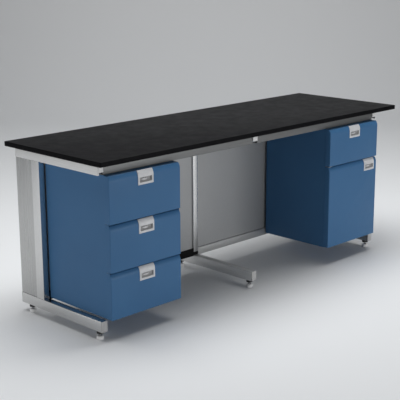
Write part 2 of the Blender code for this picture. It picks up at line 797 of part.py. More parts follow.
# ---------------------------------------------------------------- the desk
reset_scene()
add_worktop()
for leg_side in LEG_X:
    add_frame(leg_side)
add_bay("left", "left", "middle")
add_bay("right", "middle", "right")
add_left_pedestal()
add_right_pedestal()
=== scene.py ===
"""A desk with a cast resin worktop on three C-frames, drawers and a cupboard hung below it.

Metres, Z up. X runs from left to right along the desk, and the fronts face -Y. The box of each
CAD piece gives its place; the outlines here give its shape. Texture coordinates are in metres.
"""

import json
import math
import bmesh
import bpy
from mathutils import Matrix, Vector


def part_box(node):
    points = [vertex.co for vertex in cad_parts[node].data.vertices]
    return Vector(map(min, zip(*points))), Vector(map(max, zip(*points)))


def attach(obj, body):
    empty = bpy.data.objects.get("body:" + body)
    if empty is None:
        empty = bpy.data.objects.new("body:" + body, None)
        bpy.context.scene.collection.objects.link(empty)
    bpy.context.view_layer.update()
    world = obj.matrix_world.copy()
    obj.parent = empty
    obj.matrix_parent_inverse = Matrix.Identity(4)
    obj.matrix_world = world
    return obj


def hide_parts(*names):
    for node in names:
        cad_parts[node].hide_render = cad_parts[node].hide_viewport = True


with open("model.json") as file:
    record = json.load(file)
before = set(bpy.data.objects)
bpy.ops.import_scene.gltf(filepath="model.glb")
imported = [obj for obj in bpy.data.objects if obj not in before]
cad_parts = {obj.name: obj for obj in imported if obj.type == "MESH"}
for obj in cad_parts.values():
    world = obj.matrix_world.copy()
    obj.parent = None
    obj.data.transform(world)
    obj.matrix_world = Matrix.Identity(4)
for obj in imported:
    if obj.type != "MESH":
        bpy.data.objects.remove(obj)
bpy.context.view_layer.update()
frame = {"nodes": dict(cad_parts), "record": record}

NODES = frame["nodes"]
BODY_OF = {
    node: body for body, names in frame["record"]["behaviour"]["bodies"].items() for node in names
}
COLLECTION = bpy.context.scene.collection
DRAWERS = ("left_drawer_1", "left_drawer_2", "left_drawer_3", "right_drawer")

# ---- Materials ----

MIX_A, MIX_B = 6, 7  # colour inputs of a Mix node
MIX_COLOUR = 2  # its colour output
# Noise stretched into brush lines along one axis
ALONG_X, ALONG_Y, ALONG_Z = (0.03, 1, 1), (1, 0.03, 1), (1, 1, 0.03)


def scaled(colour, factor, offset=0.0):
    return tuple(channel * factor + offset for channel in colour)


class Shader:
    """One material and the means to wire its nodes."""

    def __init__(self, name):
        self.material = bpy.data.materials.new(name)
        self.material.use_nodes = True
        self.tree = self.material.node_tree
        self.bsdf = self.tree.nodes["Principled BSDF"]
        self.coord = self.tree.nodes.new("ShaderNodeTexCoord")

    def new(self, kind, inputs=None, **settings):
        node = self.tree.nodes.new(kind)
        for setting, value in settings.items():
            setattr(node, setting, value)
        for socket, value in (inputs or {}).items():
            self.feed(node.inputs[socket], value)
        return node

    def link(self, output, socket):
        self.tree.links.new(output, socket)

    def feed(self, socket, value):
        """Give a socket an output, an RGB colour or a number."""
        if isinstance(value, bpy.types.NodeSocket):
            self.link(value, socket)
        else:
            socket.default_value = (*value, 1.0) if isinstance(value, tuple) else value

    def mapped(self, stretch=(1, 1, 1)):
        mapping = self.new("ShaderNodeMapping")
        mapping.inputs["Scale"].default_value = stretch
        self.link(self.coord.outputs["Object"], mapping.inputs["Vector"])
        return mapping.outputs["Vector"]

    def height(self):
        node = self.new("ShaderNodeSeparateXYZ", {"Vector": self.coord.outputs["Object"]})
        return node.outputs["Z"]

    def noise(self, scale, detail=3.0, rough=0.5, stretch=(1, 1, 1)):
        node = self.new(
            "ShaderNodeTexNoise", {"Scale": scale, "Detail": detail, "Roughness": rough})
        self.link(self.mapped(stretch), node.inputs["Vector"])
        return node.outputs["Fac"]

    def ramp(self, value, over=(0.3, 0.7), to=(0.0, 1.0)):
        """Map the range `over` of a value to the range `to`, clamped."""
        node = self.new("ShaderNodeMapRange", {
            "From Min": over[0], "From Max": over[1], "To Min": to[0], "To Max": to[1],
            "Value": value})
        return node.outputs["Result"]

    def mix(self, factor, start, end):
        """Colour between start and end; each is a colour or an output."""
        node = self.new(
            "ShaderNodeMix", {"Factor": factor, MIX_A: start, MIX_B: end}, data_type="RGBA")
        return node.outputs[MIX_COLOUR]

    def maths(self, operation, first, second):
        node = self.new("ShaderNodeMath", {0: first, 1: second}, operation=operation)
        return node.outputs[0]

    def bump(self, height, distance, strength, below=None):
        node = self.new(
            "ShaderNodeBump", {"Distance": distance, "Strength": strength, "Height": height})
        if below is not None:
            self.link(below, node.inputs["Normal"])
        self.link(node.outputs["Normal"], self.bsdf.inputs["Normal"])
        return node.outputs["Normal"]

    def edges(self, radius, over):
        """1 on edges, 0 on flats: how far a bevelled normal leans from the true one."""
        bevel = self.new("ShaderNodeBevel", {"Radius": radius}, samples=4)
        geometry = self.new("ShaderNodeNewGeometry")
        dot = self.new(
            "ShaderNodeVectorMath", {0: bevel.outputs["Normal"], 1: geometry.outputs["Normal"]},
            operation="DOT_PRODUCT")
        return self.ramp(self.maths("SUBTRACT", 1.0, dot.outputs["Value"]), over=over)

    def finish(self, colour, roughness, specular=0.5, metallic=0.0):
        inputs = self.bsdf.inputs
        self.link(colour, inputs["Base Color"])
        self.link(roughness, inputs["Roughness"])
        inputs["Specular IOR Level"].default_value = specular
        inputs["Metallic"].default_value = metallic


def resin():
    """Near-black cast resin with paler specks and paler edges, partly wear and partly painted
    highlight.
    """
    shader = Shader("cast_resin_black")
    clouds = shader.noise(scale=6.0, detail=4.0, rough=0.6)
    specks = shader.ramp(shader.noise(scale=900.0, detail=2.0, rough=0.6), over=(0.56, 0.74))
    base = shader.mix(shader.ramp(clouds), (0.0034, 0.0034, 0.0042), (0.0046, 0.0046, 0.0056))
    base = shader.mix(shader.maths("MULTIPLY", specks, 0.30), base, (0.013, 0.013, 0.015))
    # Paler edges: partly wear, partly a painted highlight along the rounded edges.
    edge_wear_and_highlight = shader.maths("MULTIPLY", shader.edges(radius=0.002, over=(0.01, 0.3)), 0.30)
    base = shader.mix(edge_wear_and_highlight, base, (0.009, 0.009, 0.010))
    patches = shader.noise(scale=14.0, detail=5.0, rough=0.65)
    shader.finish(base, shader.ramp(patches, to=(0.46, 0.56)), specular=0.045)
    shader.bump(shader.noise(scale=700.0, rough=0.6), distance=0.00006, strength=0.5)
    return shader.material


def metal(name, colour, rough, brushed=(1, 1, 1), metallic=1.0, tint=0.06, painted_low_shade=None):
    """Brushed metal; `tint` is how far the lines vary, and the colour after it, if given, is painted
    shade that darkens the metal low down.
    """
    shader = Shader(name)
    lines = shader.noise(scale=260.0, rough=0.6, stretch=brushed)
    clouds = shader.noise(scale=5.0, rough=0.6)
    base = shader.mix(
        shader.ramp(lines, over=(0.35, 0.65)), scaled(colour, 1 - tint), scaled(colour, 1 + tint))
    evened = shader.maths("MULTIPLY", shader.ramp(clouds, over=(0.35, 0.65)), 0.5)
    base = shader.mix(evened, base, colour)
    if painted_low_shade:
        # Painted shade: darker towards the floor, standing in for the shade near the floor and the
        # shaded floor the metal reflects there.
        level = shader.height()
        uneven = shader.maths(
            "ADD", level, shader.ramp(clouds, over=(0.2, 0.8), to=(-0.04, 0.04)))
        base = shader.mix(shader.ramp(uneven, over=(0.12, 0.78), to=(1.0, 0.0)), base, painted_low_shade)
    streaks = shader.noise(scale=60.0, detail=4.0, rough=0.6, stretch=brushed)
    roughness = shader.ramp(streaks, to=(rough * 0.85, rough * 1.15))
    shader.finish(base, roughness, metallic=metallic)
    shader.bump(lines, distance=0.00003, strength=0.35)
    return shader.material


def powder_coat(name, dark, light, rough=0.42, specular=0.20):
    """Powder coat with fine flecks, orange peel and paler edges, partly wear and partly painted
    highlight.
    """
    shader = Shader(name)
    clouds = shader.noise(scale=3.5, rough=0.55)
    fleck = shader.noise(scale=1400.0, detail=2.0, rough=0.6)
    base = shader.mix(shader.ramp(clouds), dark, light)
    base = shader.mix(
        shader.ramp(fleck, over=(0.62, 0.80), to=(0.0, 0.25)), base, scaled(light, 1.5))
    # Paler edges in patches: partly wear, partly a painted highlight along the rounded edges.
    edges = shader.edges(radius=0.0016, over=(0.02, 0.35))
    edge_breakup = shader.noise(scale=45.0, detail=4.0, rough=0.7)
    edge_breakup = shader.ramp(edge_breakup, over=(0.35, 0.75), to=(0.1, 0.5))
    edge_wear_and_highlight = shader.maths("MULTIPLY", edges, edge_breakup)
    base = shader.mix(edge_wear_and_highlight, base, scaled(light, 1.25, offset=0.004))
    patches = shader.noise(scale=22.0, detail=4.0, rough=0.6)
    roughness = shader.ramp(patches, to=(rough - 0.04, rough + 0.05))
    shader.finish(base, roughness, specular=specular)
    peel = shader.bump(shader.noise(scale=420.0, detail=2.0), distance=0.00010, strength=0.25)
    shader.bump(
        shader.noise(scale=2600.0, detail=2.0), distance=0.00003, strength=0.30, below=peel)
    return shader.material


def plastic(name, colour, rough=0.42):
    shader = Shader(name)
    clouds = shader.noise(scale=35.0)
    base = shader.mix(shader.ramp(clouds), scaled(colour, 0.95), scaled(colour, 1.04))
    patches = shader.noise(scale=90.0, rough=0.6)
    roughness = shader.ramp(patches, to=(rough - 0.05, rough + 0.06))
    shader.finish(base, roughness, specular=0.45)
    grain = shader.noise(scale=1800.0, detail=2.0, rough=0.6)
    shader.bump(grain, distance=0.00004, strength=0.45)
    return shader.material


def galvanised(name):
    """Zinc spangle: each cell has its own grey and its own roughness."""
    shader = Shader(name)
    cells = shader.new("ShaderNodeTexVoronoi", {"Scale": 130.0})
    shader.link(shader.mapped(), cells.inputs["Vector"])
    spangle = shader.new("ShaderNodeSeparateColor", {"Color": cells.outputs["Color"]}).outputs
    base = shader.mix(spangle["Red"], (0.42, 0.43, 0.44), (0.58, 0.59, 0.60))
    roughness = shader.ramp(spangle["Green"], over=(0.0, 1.0), to=(0.30, 0.46))
    shader.finish(base, roughness, metallic=1.0)
    shader.bump(shader.noise(scale=500.0, detail=2.0), distance=0.00003, strength=0.3)
    return shader.material


def studio_paper():
    shader = Shader("studio_paper")
    # Painted shade: the paper darkens with height, standing in for the light falling off up the
    # backdrop.
    level = shader.ramp(shader.height(), over=(0.0, 3.0))
    tone_with_painted_shade = shader.mix(level, (0.80, 0.815, 0.83), (0.74, 0.74, 0.74))
    shader.finish(tone_with_painted_shade, shader.ramp(shader.noise(scale=3.0), to=(0.55, 0.65)), specular=0.2)
    return shader.material


RESIN = resin()
# The column tube and the service cover take painted shade towards the floor.
COLUMN_METAL = metal("frame_metal_upright", (0.88, 0.88, 0.875), rough=0.22, brushed=ALONG_Z,
                     painted_low_shade=(0.52, 0.52, 0.515))
FOOT_METAL = metal("frame_metal_lengthwise", (0.56, 0.56, 0.555), rough=0.18, brushed=ALONG_Y)
# Painted light: the middle foot gets its own paler, rougher, less metallic copy of the foot metal,
# so it looks as lit as it does.
MIDDLE_FOOT_METAL_LIT = metal(
    "middle_foot_metal_painted_light", (0.66, 0.66, 0.655), rough=0.36, brushed=ALONG_Y, metallic=0.45)
COVER_METAL = metal("service_cover_metal", (0.66, 0.66, 0.655), rough=0.26, brushed=ALONG_Z,
                    painted_low_shade=(0.40, 0.40, 0.395))
ARM_METAL = metal("arm_metal", (0.76, 0.76, 0.755), rough=0.34, brushed=ALONG_Y, metallic=0.30)
RAIL_METAL = metal(
    "rail_metal", (0.165, 0.168, 0.168), rough=0.42, brushed=ALONG_X, metallic=0.6)
PANEL_METAL = metal("knee_panel_metal", (0.40, 0.405, 0.41), rough=0.40, brushed=(0.6, 1, 1),
                    metallic=0.30, tint=0.05)
LOWER_RAIL_METAL = metal(
    "lower_rail_metal", (0.58, 0.58, 0.575), rough=0.30, brushed=ALONG_X, metallic=0.55)
# Partly painted shade: the lock nut is black, standing in for the shade between the foot and its
# pad.
NUT_BLACK_SHADE = powder_coat("lock_nut_black_painted_shade", dark=(0.010, 0.010, 0.011),
                        light=(0.016, 0.016, 0.017), rough=0.45, specular=0.25)
RAIL_BLACK = powder_coat("rail_black", dark=(0.0050, 0.0050, 0.0055),
                         light=(0.0070, 0.0070, 0.0075), rough=0.50, specular=0.10)
ARM_CAP = plastic("arm_cap_plastic", (0.72, 0.72, 0.72), rough=0.40)
FOOT_CAP = plastic("foot_cap_plastic", (0.44, 0.44, 0.44))
BLUE = powder_coat("powder_coat_blue", dark=(0.047, 0.140, 0.288), light=(0.051, 0.150, 0.305))
HANDLE = plastic("handle_plastic", (0.63, 0.635, 0.65), rough=0.36)
# Painted shade for the inside of the handle's pocket.
POCKET_SHADE = plastic("handle_pocket_painted_shade", (0.34, 0.34, 0.345), rough=0.50)
ZINC = metal("zinc_plate", (0.60, 0.61, 0.61), rough=0.24)
PAD = plastic("foot_pad_plastic", (0.82, 0.82, 0.82), rough=0.45)
GALVANISED = galvanised("drawer_box_steel")
NYLON = plastic("nylon_natural", (0.66, 0.66, 0.60), rough=0.5)

# ---- Mesh helpers: an outline lies in the two axes across the one it runs along ----


def add_object(name, shape):
    """A new object from a bmesh, its faces turned outwards."""
    bmesh.ops.recalc_face_normals(shape, faces=shape.faces)
    mesh = bpy.data.meshes.new(name)
    shape.to_mesh(mesh)
    shape.free()
    obj = bpy.data.objects.new(name, mesh)
    COLLECTION.objects.link(obj)
    return obj


def piece(name, shape, body, material, node=None, smooth=40.0):
    """A visible piece riding on a body, and standing for a CAD node if one is given."""
    obj = add_object(name, shape)
    obj.data.materials.append(material)
    obj.data.shade_smooth()
    obj.data.set_sharp_from_angle(angle=math.radians(smooth))
    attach(obj, body)
    if node:
        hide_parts(node)
    return obj


def frame_piece(name, shape, material, node=None):
    return piece(name, shape, "frame", material, node)


def quarter(radius):
    """A quarter round as pairs: one distance shrinks to 0 while the other grows to the radius."""
    angles = [math.pi / 2 * n / 4 for n in range(5)]
    return [(radius * (1 - math.sin(angle)), radius * (1 - math.cos(angle))) for angle in angles]


def rounded_rect(across, up, radius, inset=0.0, least=0.0, steps=5):
    """Rectangle over two spans, drawn in by inset; its corner radius shrinks to least."""
    radius = max(radius - inset, least)
    left, right = across[0] + inset + radius, across[1] - inset - radius
    bottom, top = up[0] + inset + radius, up[1] - inset - radius
    points = []
    for x, y, start in ((right, top, 0), (left, top, 90), (left, bottom, 180), (right, bottom, 270)):
        for n in range(steps + 1):
            angle = math.radians(start + 90 * n / steps)
            points.append((x + radius * math.cos(angle), y + radius * math.sin(angle)))
    return points


def rounded_path(corners, radii):
    """A polygon with each corner rounded to its own radius; 0 leaves it square."""
    steps = 4
    points = []
    for n, radius in enumerate(radii):
        before, corner, after = (
            Vector(corners[(n + step) % len(corners)]) for step in (-1, 0, 1))
        if radius == 0:
            points.append(tuple(corner))
            continue
        back, ahead = (before - corner).normalized(), (after - corner).normalized()
        angle = back.angle(ahead)
        reach = radius / math.tan(angle / 2)
        centre = corner + (back + ahead).normalized() * (radius / math.sin(angle / 2))
        start, end = corner + back * reach - centre, corner + ahead * reach - centre
        first = math.atan2(start.y, start.x)
        sweep = (math.atan2(end.y, end.x) - first + math.pi) % (2 * math.pi) - math.pi
        for k in range(steps + 1):
            turn = first + sweep * k / steps
            points.append((centre.x + radius * math.cos(turn), centre.y + radius * math.sin(turn)))
    return points


def folded_channel(web, mouth, low, high, wall, outer, inner):
    """Outline of a sheet channel from its closed web to its open mouth; outer, inner: fold radii."""
    inside = web + math.copysign(wall, mouth - web)
    corners = [
        (mouth, low), (web, low), (web, high), (mouth, high),
        (mouth, high - wall), (inside, high - wall), (inside, low + wall), (mouth, low + wall),
    ]
    return rounded_path(corners, [0, outer, outer, 0, 0, inner, inner, 0])


def ring_at(axis, outline, along):
    """An outline's points set at a distance along an axis."""
    return [{"x": (along, first, second), "y": (first, along, second),
             "z": (first, second, along)}[axis] for first, second in outline]


def round_ring(x, y, z, radii, turn=0.0):
    """Points about a vertical axis, one at each radius, at even angles."""
    angles = [2 * math.pi * n / len(radii) + turn for n in range(len(radii))]
    return [(x + radius * math.cos(angle), y + radius * math.sin(angle), z)
            for radius, angle in zip(radii, angles)]


def lofted(rings, pairs=None):
    """Shape through rings in turn, closed at the ends; or with only the given pairs bridged."""
    shape = bmesh.new()
    loops = [[shape.verts.new(point) for point in ring] for ring in rings]
    for near, far in pairs or [(n, n + 1) for n in range(len(loops) - 1)]:
        near, far = loops[near], loops[far]
        for n in range(len(near)):
            after = (n + 1) % len(near)
            shape.faces.new((near[n], near[after], far[after], far[n]))
    if not pairs:
        shape.faces.new(loops[0])
        shape.faces.new(loops[-1])
    return shape


def extruded(outline, axis, start, end):
    return lofted([ring_at(axis, outline, along) for along in (start, end)])


def rounded_bar(low, high, axis, corner, edge):
    """Bar filling a box, with rounded edges along the axis and softly broken ends."""
    first, second, along = {"x": (1, 2, 0), "y": (0, 2, 1), "z": (0, 1, 2)}[axis]
    start, end, slight = low[along], high[along], edge * 0.3
    # distance along, inset
    stations = (
        (start, edge), (start + slight, slight), (start + edge, 0.0),
        (end - edge, 0.0), (end - slight, slight), (end, edge),
    )
    across, up = (low[first], high[first]), (low[second], high[second])
    return lofted([
        ring_at(axis, rounded_rect(across, up, corner, inset, least=0.0003), distance)
        for distance, inset in stations])


def upright_tube(low, high, corner, wall):
    """Rectangular tube, open at top and bottom."""
    rings = []
    for inset in (0.0, wall):
        outline = rounded_rect((low[0], high[0]), (low[1], high[1]), corner, inset, least=0.0006)
        rings += [ring_at("z", outline, low[2]), ring_at("z", outline, high[2])]
    return lofted(rings, pairs=((0, 1), (2, 3), (0, 2), (1, 3)))


def turned(x, y, profile, steps):
    """A turned solid on the vertical axis through (x, y), from (radius, z) pairs."""
    return lofted([round_ring(x, y, z, [radius] * steps) for radius, z in profile])


def boolean_cut(obj, cutter_shape):
    """Cut a shape out of an object and keep the result as its mesh."""
    cutter = add_object("cutter", cutter_shape)
    cutter_mesh = cutter.data
    cut = obj.modifiers.new("cut", "BOOLEAN")
    cut.operation = "DIFFERENCE"
    cut.solver = "EXACT"
    cut.object = cutter
    bpy.context.view_layer.update()
    graph = bpy.context.evaluated_depsgraph_get()
    result = bpy.data.meshes.new_from_object(obj.evaluated_get(graph), depsgraph=graph)
    obj.modifiers.remove(cut)
    uncut = obj.data
    obj.data = result
    obj.data.set_sharp_from_angle(angle=math.radians(40))
    bpy.data.meshes.remove(uncut)
    bpy.data.objects.remove(cutter)
    bpy.data.meshes.remove(cutter_mesh)


# ---- Worktop ----

WORKTOP_CORNER = 0.0030
WORKTOP_EDGE = 0.0022


def worktop():
    low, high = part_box("worktop")
    # z, inset
    stations = [(low.z + rise, inset) for inset, rise in quarter(WORKTOP_EDGE)]
    stations += [(high.z - drop, inset) for drop, inset in quarter(WORKTOP_EDGE)]
    across, deep = (low.x, high.x), (low.y, high.y)
    rings = [
        ring_at("z", rounded_rect(across, deep, WORKTOP_CORNER, inset, least=0.0004), z)
        for z, inset in stations]
    piece("worktop_slab", lofted(rings), "frame", RESIN, "worktop")


worktop()

# ---- C-frames ----

CAP_THICKNESS = 0.0032
GAP = 0.0003  # between neighbouring pieces
HEAD_HEIGHT = 0.010
HEAD_INSET = 0.0020
COLLAR_HEIGHT = 0.018
COLLAR_WALL = 0.0008
SHEET = 0.0015
LIP_END = 0.0010
LIP_END_GAP = 0.0002

STEM_HOLE_RADIUS = 0.0056
# The nut is sized wide: partly the real nut, partly painted shade filling the dark band under the
# foot.
NUT_FLATS = 0.0330
NUT_HEIGHT = 0.0122
NUT_CHAMFER = 0.0009
NUT_BORE_RADIUS = 0.0053
NUT_TURN = 0.3
CORNER_TO_FLAT = 1.1547  # of a hexagon
PAD_TOP = 0.0200  # faces below it are plastic
THREAD_START = 0.0252
THREAD_PITCH = 0.00125
# Pad's side: how far in from its widest radius, z
PAD_SIDE = (
    (0.0030, 0.0), (0.0012, 0.0004), (0.0003, 0.0014), (0.0, 0.0030),
    (0.0, 0.0052), (0.0007, 0.0058), (0.0007, 0.0064), (0.0, 0.0070),
    (0.0, 0.0162), (0.0004, 0.0178), (0.0016, 0.0189), (0.0040, 0.0197),
)
# Neck between pad and thread: radius, z
NECK = (
    (0.0105, 0.0203), (0.0088, 0.0209), (0.0080, 0.0220), (0.0080, 0.0236),
    (0.0072, 0.0244), (0.0050, 0.0248), (0.0046, THREAD_START),
)
# One turn of thread: radius, share of the pitch
THREAD = ((0.0044, 0.12), (0.0050, 0.42), (0.0050, 0.58), (0.0044, 0.88))


def end_caps(name, low, high, thickness, corner, edge, material):
    """Front and rear caps inside the ends of a box that runs along Y."""
    ends = (("front", low.y, low.y + thickness), ("rear", high.y - thickness, high.y))
    for end, start, stop in ends:
        frame_piece(f"{name}_{end}", rounded_bar(
            (low.x, start, low.z), (high.x, stop, high.z), "y", corner, edge), material)


def capped_tube(node, material, cap_material):
    low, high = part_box(node)
    tube = frame_piece(node + "_tube", rounded_bar(
        (low.x, low.y + CAP_THICKNESS, low.z), (high.x, high.y - CAP_THICKNESS, high.z),
        "y", corner=0.0022, edge=0.0004), material, node)
    end_caps(node + "_cap", low, high, CAP_THICKNESS - GAP, 0.0026, 0.0007, cap_material)
    return tube


def column(side):
    low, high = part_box(side + "_column")
    top = high.z
    if side != "middle":
        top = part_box(side + "_arm_cover")[0].z - GAP
        arm_low, arm_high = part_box(side + "_arm")
        frame_piece(side + "_column_head", rounded_bar(
            (arm_low.x + HEAD_INSET, low.y, top - HEAD_HEIGHT),
            (arm_high.x - HEAD_INSET, high.y, high.z), "z", corner=0.0015, edge=0.0003), ARM_METAL)
    frame_piece(side + "_column_tube", upright_tube(
        low, (high.x, high.y, top), corner=0.0024, wall=0.002), COLUMN_METAL, side + "_column")
    if side == "middle":
        # Black collar where the column meets its foot.
        frame_piece("middle_column_collar", upright_tube(
            (low.x - COLLAR_WALL, low.y - COLLAR_WALL, low.z),
            (high.x + 0.0001, high.y, low.z + COLLAR_HEIGHT),
            corner=0.0028, wall=COLLAR_WALL), RAIL_BLACK)


def service_cover(side):
    """Upright channel on the column, open to the front."""
    node = side + "_column_cover"
    low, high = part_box(node)
    channel = folded_channel(
        web=high.y, mouth=low.y, low=low.x, high=high.x, wall=SHEET, outer=0.002, inner=0.0006)
    shape = extruded([(x, y) for y, x in channel], "z", low.z, high.z)
    frame_piece(side + "_service_cover", shape, COVER_METAL, node)


def lock_nut(x, y, bottom, top):
    """Bored hexagon nut with chamfered corners."""
    steps = 48
    flat_radius = NUT_FLATS / 2

    def hexagon(z, trim):
        radii = []
        for n in range(steps):
            from_flat = (2 * math.pi * n / steps + math.pi / 6) % (math.pi / 3) - math.pi / 6
            radii.append(min(
                flat_radius / math.cos(from_flat), flat_radius * CORNER_TO_FLAT - trim))
        return round_ring(x, y, z, radii, NUT_TURN)

    trim, drop = NUT_CHAMFER * 1.6, NUT_CHAMFER * 0.6
    rings = [hexagon(bottom, trim), hexagon(bottom + drop, 0.0), hexagon(top - drop, 0.0),
             hexagon(top, trim)]
    rings += [round_ring(x, y, z, [NUT_BORE_RADIUS] * steps, NUT_TURN) for z in (top, bottom)]
    return lofted(rings, pairs=[(n, (n + 1) % len(rings)) for n in range(len(rings))])


def leveller(name, foot, foot_bottom):
    """Pad with a threaded stem that enters a hole under the foot, and its lock nut."""
    low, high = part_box(name)
    x, y = (low.x + high.x) / 2, (low.y + high.y) / 2
    hole = [(STEM_HOLE_RADIUS, foot_bottom - 0.002), (STEM_HOLE_RADIUS, foot_bottom + 0.050)]
    boolean_cut(foot, turned(x, y, hole, steps=32))
    pad_radius = (high.x - low.x) / 2
    profile = [(pad_radius - inset, z) for inset, z in PAD_SIDE] + list(NECK)
    z = THREAD_START
    while z + THREAD_PITCH < high.z - 0.0012:
        profile += [(radius, z + THREAD_PITCH * share) for radius, share in THREAD]
        z += THREAD_PITCH
    profile += [(0.0042, high.z - 0.0008), (0.0036, high.z)]
    pad = piece(name + "_pad_and_stem", turned(x, y, profile, steps=40),
                name, ZINC, name, smooth=28)
    pad.data.materials.append(PAD)
    for polygon in pad.data.polygons:
        if polygon.center.z < PAD_TOP:
            polygon.material_index = 1
    nut_top = foot_bottom - GAP
    piece(name + "_lock_nut", lock_nut(x, y, nut_top - NUT_HEIGHT, nut_top),
          "frame", NUT_BLACK_SHADE, smooth=28)


def c_frame(side):
    capped_tube(side + "_arm", ARM_METAL, ARM_CAP)
    foot_metal = MIDDLE_FOOT_METAL_LIT if side == "middle" else FOOT_METAL
    foot = capped_tube(side + "_foot", foot_metal, FOOT_CAP)
    column(side)
    service_cover(side)
    for where in ("front", "rear"):
        leveller(f"leveller_{side}_{where}", foot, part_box(side + "_foot")[0].z)


def arm_lip(side):
    """Folded lip on the outer side of an end arm, open towards the middle of the desk."""
    low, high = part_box(side + "_arm_cover")
    web, mouth = (low.x, high.x) if side == "left" else (high.x, low.x)
    outline = folded_channel(web, mouth, low.z, high.z, wall=SHEET, outer=0.0018, inner=0.0005)
    outline = outline[1:] + outline[:1]  # starts at the web
    inset = LIP_END + LIP_END_GAP
    frame_piece(side + "_arm_lip", extruded(outline, "y", low.y + inset, high.y - inset),
                ARM_METAL, side + "_arm_cover")
    end_caps(side + "_arm_lip_end", low, high, LIP_END, 0.0014, 0.0003, ARM_CAP)


for side in ("left", "middle", "right"):
    c_frame(side)
for side in ("left", "right"):
    arm_lip(side)

# ---- Rails and knee-space panels ----


def rail(node, material):
    """Rail folded to a C, open to the back."""
    low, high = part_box(node)
    outline = folded_channel(
        web=low.y, mouth=high.y, low=low.z, high=high.z, wall=0.002, outer=0.0025, inner=0.0008)
    piece(node + "_section", extruded(outline, "x", low.x, high.x),
          "frame", material, node)


def knee_panel(bay):
    """Shallow tray with its rim turned to the back."""
    node = "back_panel_" + bay
    low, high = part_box(node)
    soft = 0.0010
    # y, inset
    stations = (
        (low.y, soft), (low.y + soft, 0.0), (high.y, 0.0), (high.y, SHEET), (low.y + SHEET, SHEET))
    across, up = (low.x, high.x), (low.z, high.z)
    rings = [ring_at("y", rounded_rect(across, up, 0.002, inset, least=0.0008, steps=3), y)
             for y, inset in stations]
    piece("knee_panel_" + bay, lofted(rings), "frame", PANEL_METAL, node)


for bay, lower_material in (("left", RAIL_BLACK), ("right", LOWER_RAIL_METAL)):
    rail("front_rail_" + bay, RAIL_METAL)
    rail("hanging_rail_" + bay, RAIL_METAL)
    rail("lower_rail_" + bay, lower_material)
    knee_panel(bay)

# ---- Fronts ----

# Curve at the top of a front, before it breaks into the flat top
ROLL_RADIUS = 0.045
ROLL_RISE = ROLL_RADIUS * math.sin(math.radians(44.0))
ROLL_STEPS = 16
FRONT_CORNER = 0.0022
FRONT_SIDE_EDGE = 0.0024

# Handle, measured across and up from its lower left corner; the window is its pocket's outline
HANDLE_HEIGHT, HANDLE_WIDTH = 0.071, 0.101
WINDOW_WIDTH, WINDOW_HEIGHT = 0.081, 0.0265
WINDOW_BOTTOM = 0.011
WINDOW_TOP = WINDOW_BOTTOM + WINDOW_HEIGHT
WINDOW_LEFT = (HANDLE_WIDTH - WINDOW_WIDTH) / 2
WINDOW_RIGHT = (HANDLE_WIDTH + WINDOW_WIDTH) / 2
# How much larger the hole in the front is than the window, on each side
HOLE_SIDE_MARGIN, HOLE_END_MARGIN = 0.0019, 0.0018

RETURN_THICKNESS = 0.0014
RETURN_ABOVE = {"left_drawer_2": 0.0062, "left_drawer_3": 0.0062}


def front_outline(face, back, bottom, top, inset):
    """(y, z) round a front: small lower corner, flat face, curved top that breaks into a flat."""
    radius = ROLL_RADIUS - inset
    centre_y, centre_z = face + ROLL_RADIUS, top - ROLL_RISE
    corner = max(FRONT_CORNER - inset, 0.0002)
    last = math.asin((ROLL_RISE - inset - 0.0006) / radius)
    points = [(back, bottom + inset)]
    points += [(face + inset + y, bottom + inset + z) for y, z in quarter(corner)]
    for n in range(ROLL_STEPS + 1):
        angle = last * n / ROLL_STEPS
        points.append((centre_y - radius * math.cos(angle), centre_z + radius * math.sin(angle)))
    y_end = points[-1][0]
    flat = top - inset
    return points + [(y_end + 0.0007, flat - 0.0001), (y_end + 0.0014, flat), (back, flat)]


def rolled_front(name, node):
    """A front with a hole for the pocket of its handle."""
    low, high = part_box(node)
    # x, inset
    stations = [(low.x + x, inset) for inset, x in quarter(FRONT_SIDE_EDGE)]
    stations += [(high.x - x, inset) for x, inset in quarter(FRONT_SIDE_EDGE)]
    rings = [ring_at("x", front_outline(low.y, high.y, low.z, high.z, inset), x)
             for x, inset in stations]
    front = piece(name + "_rolled_front", lofted(rings), BODY_OF[node], BLUE, node)
    handle_low, handle_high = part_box(name + "_handle")
    middle = (handle_low.x + handle_high.x) / 2
    reach = WINDOW_WIDTH / 2 + HOLE_SIDE_MARGIN
    bottom = high.z - HANDLE_HEIGHT + WINDOW_BOTTOM - HOLE_END_MARGIN
    top = bottom + WINDOW_HEIGHT + 2 * HOLE_END_MARGIN
    outline = rounded_rect((middle - reach, middle + reach), (bottom, top), 0.002, steps=3)
    boolean_cut(front, extruded(outline, "y", low.y - 0.01, low.y + 0.0150))


def side_returns(name, node, above):
    """Narrow strips at the sides that run up behind the edge of the front above."""
    low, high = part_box(node)
    start = low.y + ROLL_RADIUS - math.sqrt(ROLL_RADIUS ** 2 - (ROLL_RISE - 0.003) ** 2)
    for hand, left in (("left", low.x), ("right", high.x - RETURN_THICKNESS)):
        piece(f"{name}_rolled_front_return_{hand}", rounded_bar(
            (left, start, high.z - 0.0040),
            (left + RETURN_THICKNESS, high.y - 0.0004, high.z + above),
            "x", corner=0.0006, edge=0.0003), BODY_OF[node], BLUE)


# ---- Handles ----

HANDLE_FLAT = HANDLE_HEIGHT - ROLL_RISE
HANDLE_LENGTH = HANDLE_FLAT + ROLL_RADIUS * math.radians(43.0)  # up the face and over the curve
# Skin's back and front, measured out from the face of the front
SKIN_IN, SKIN_OUT = 0.0003, 0.0027
RIM_RADIUS = 0.0011
POCKET_DEPTH = 0.0110


def spaced(*marks):
    """Distances from 0; marks are (value, count of steps from the one before)."""
    distances = [0]
    for value, count in marks:
        start = distances[-1]
        distances += [start + (value - start) * (k + 1) / count for k in range(count)]
    return distances


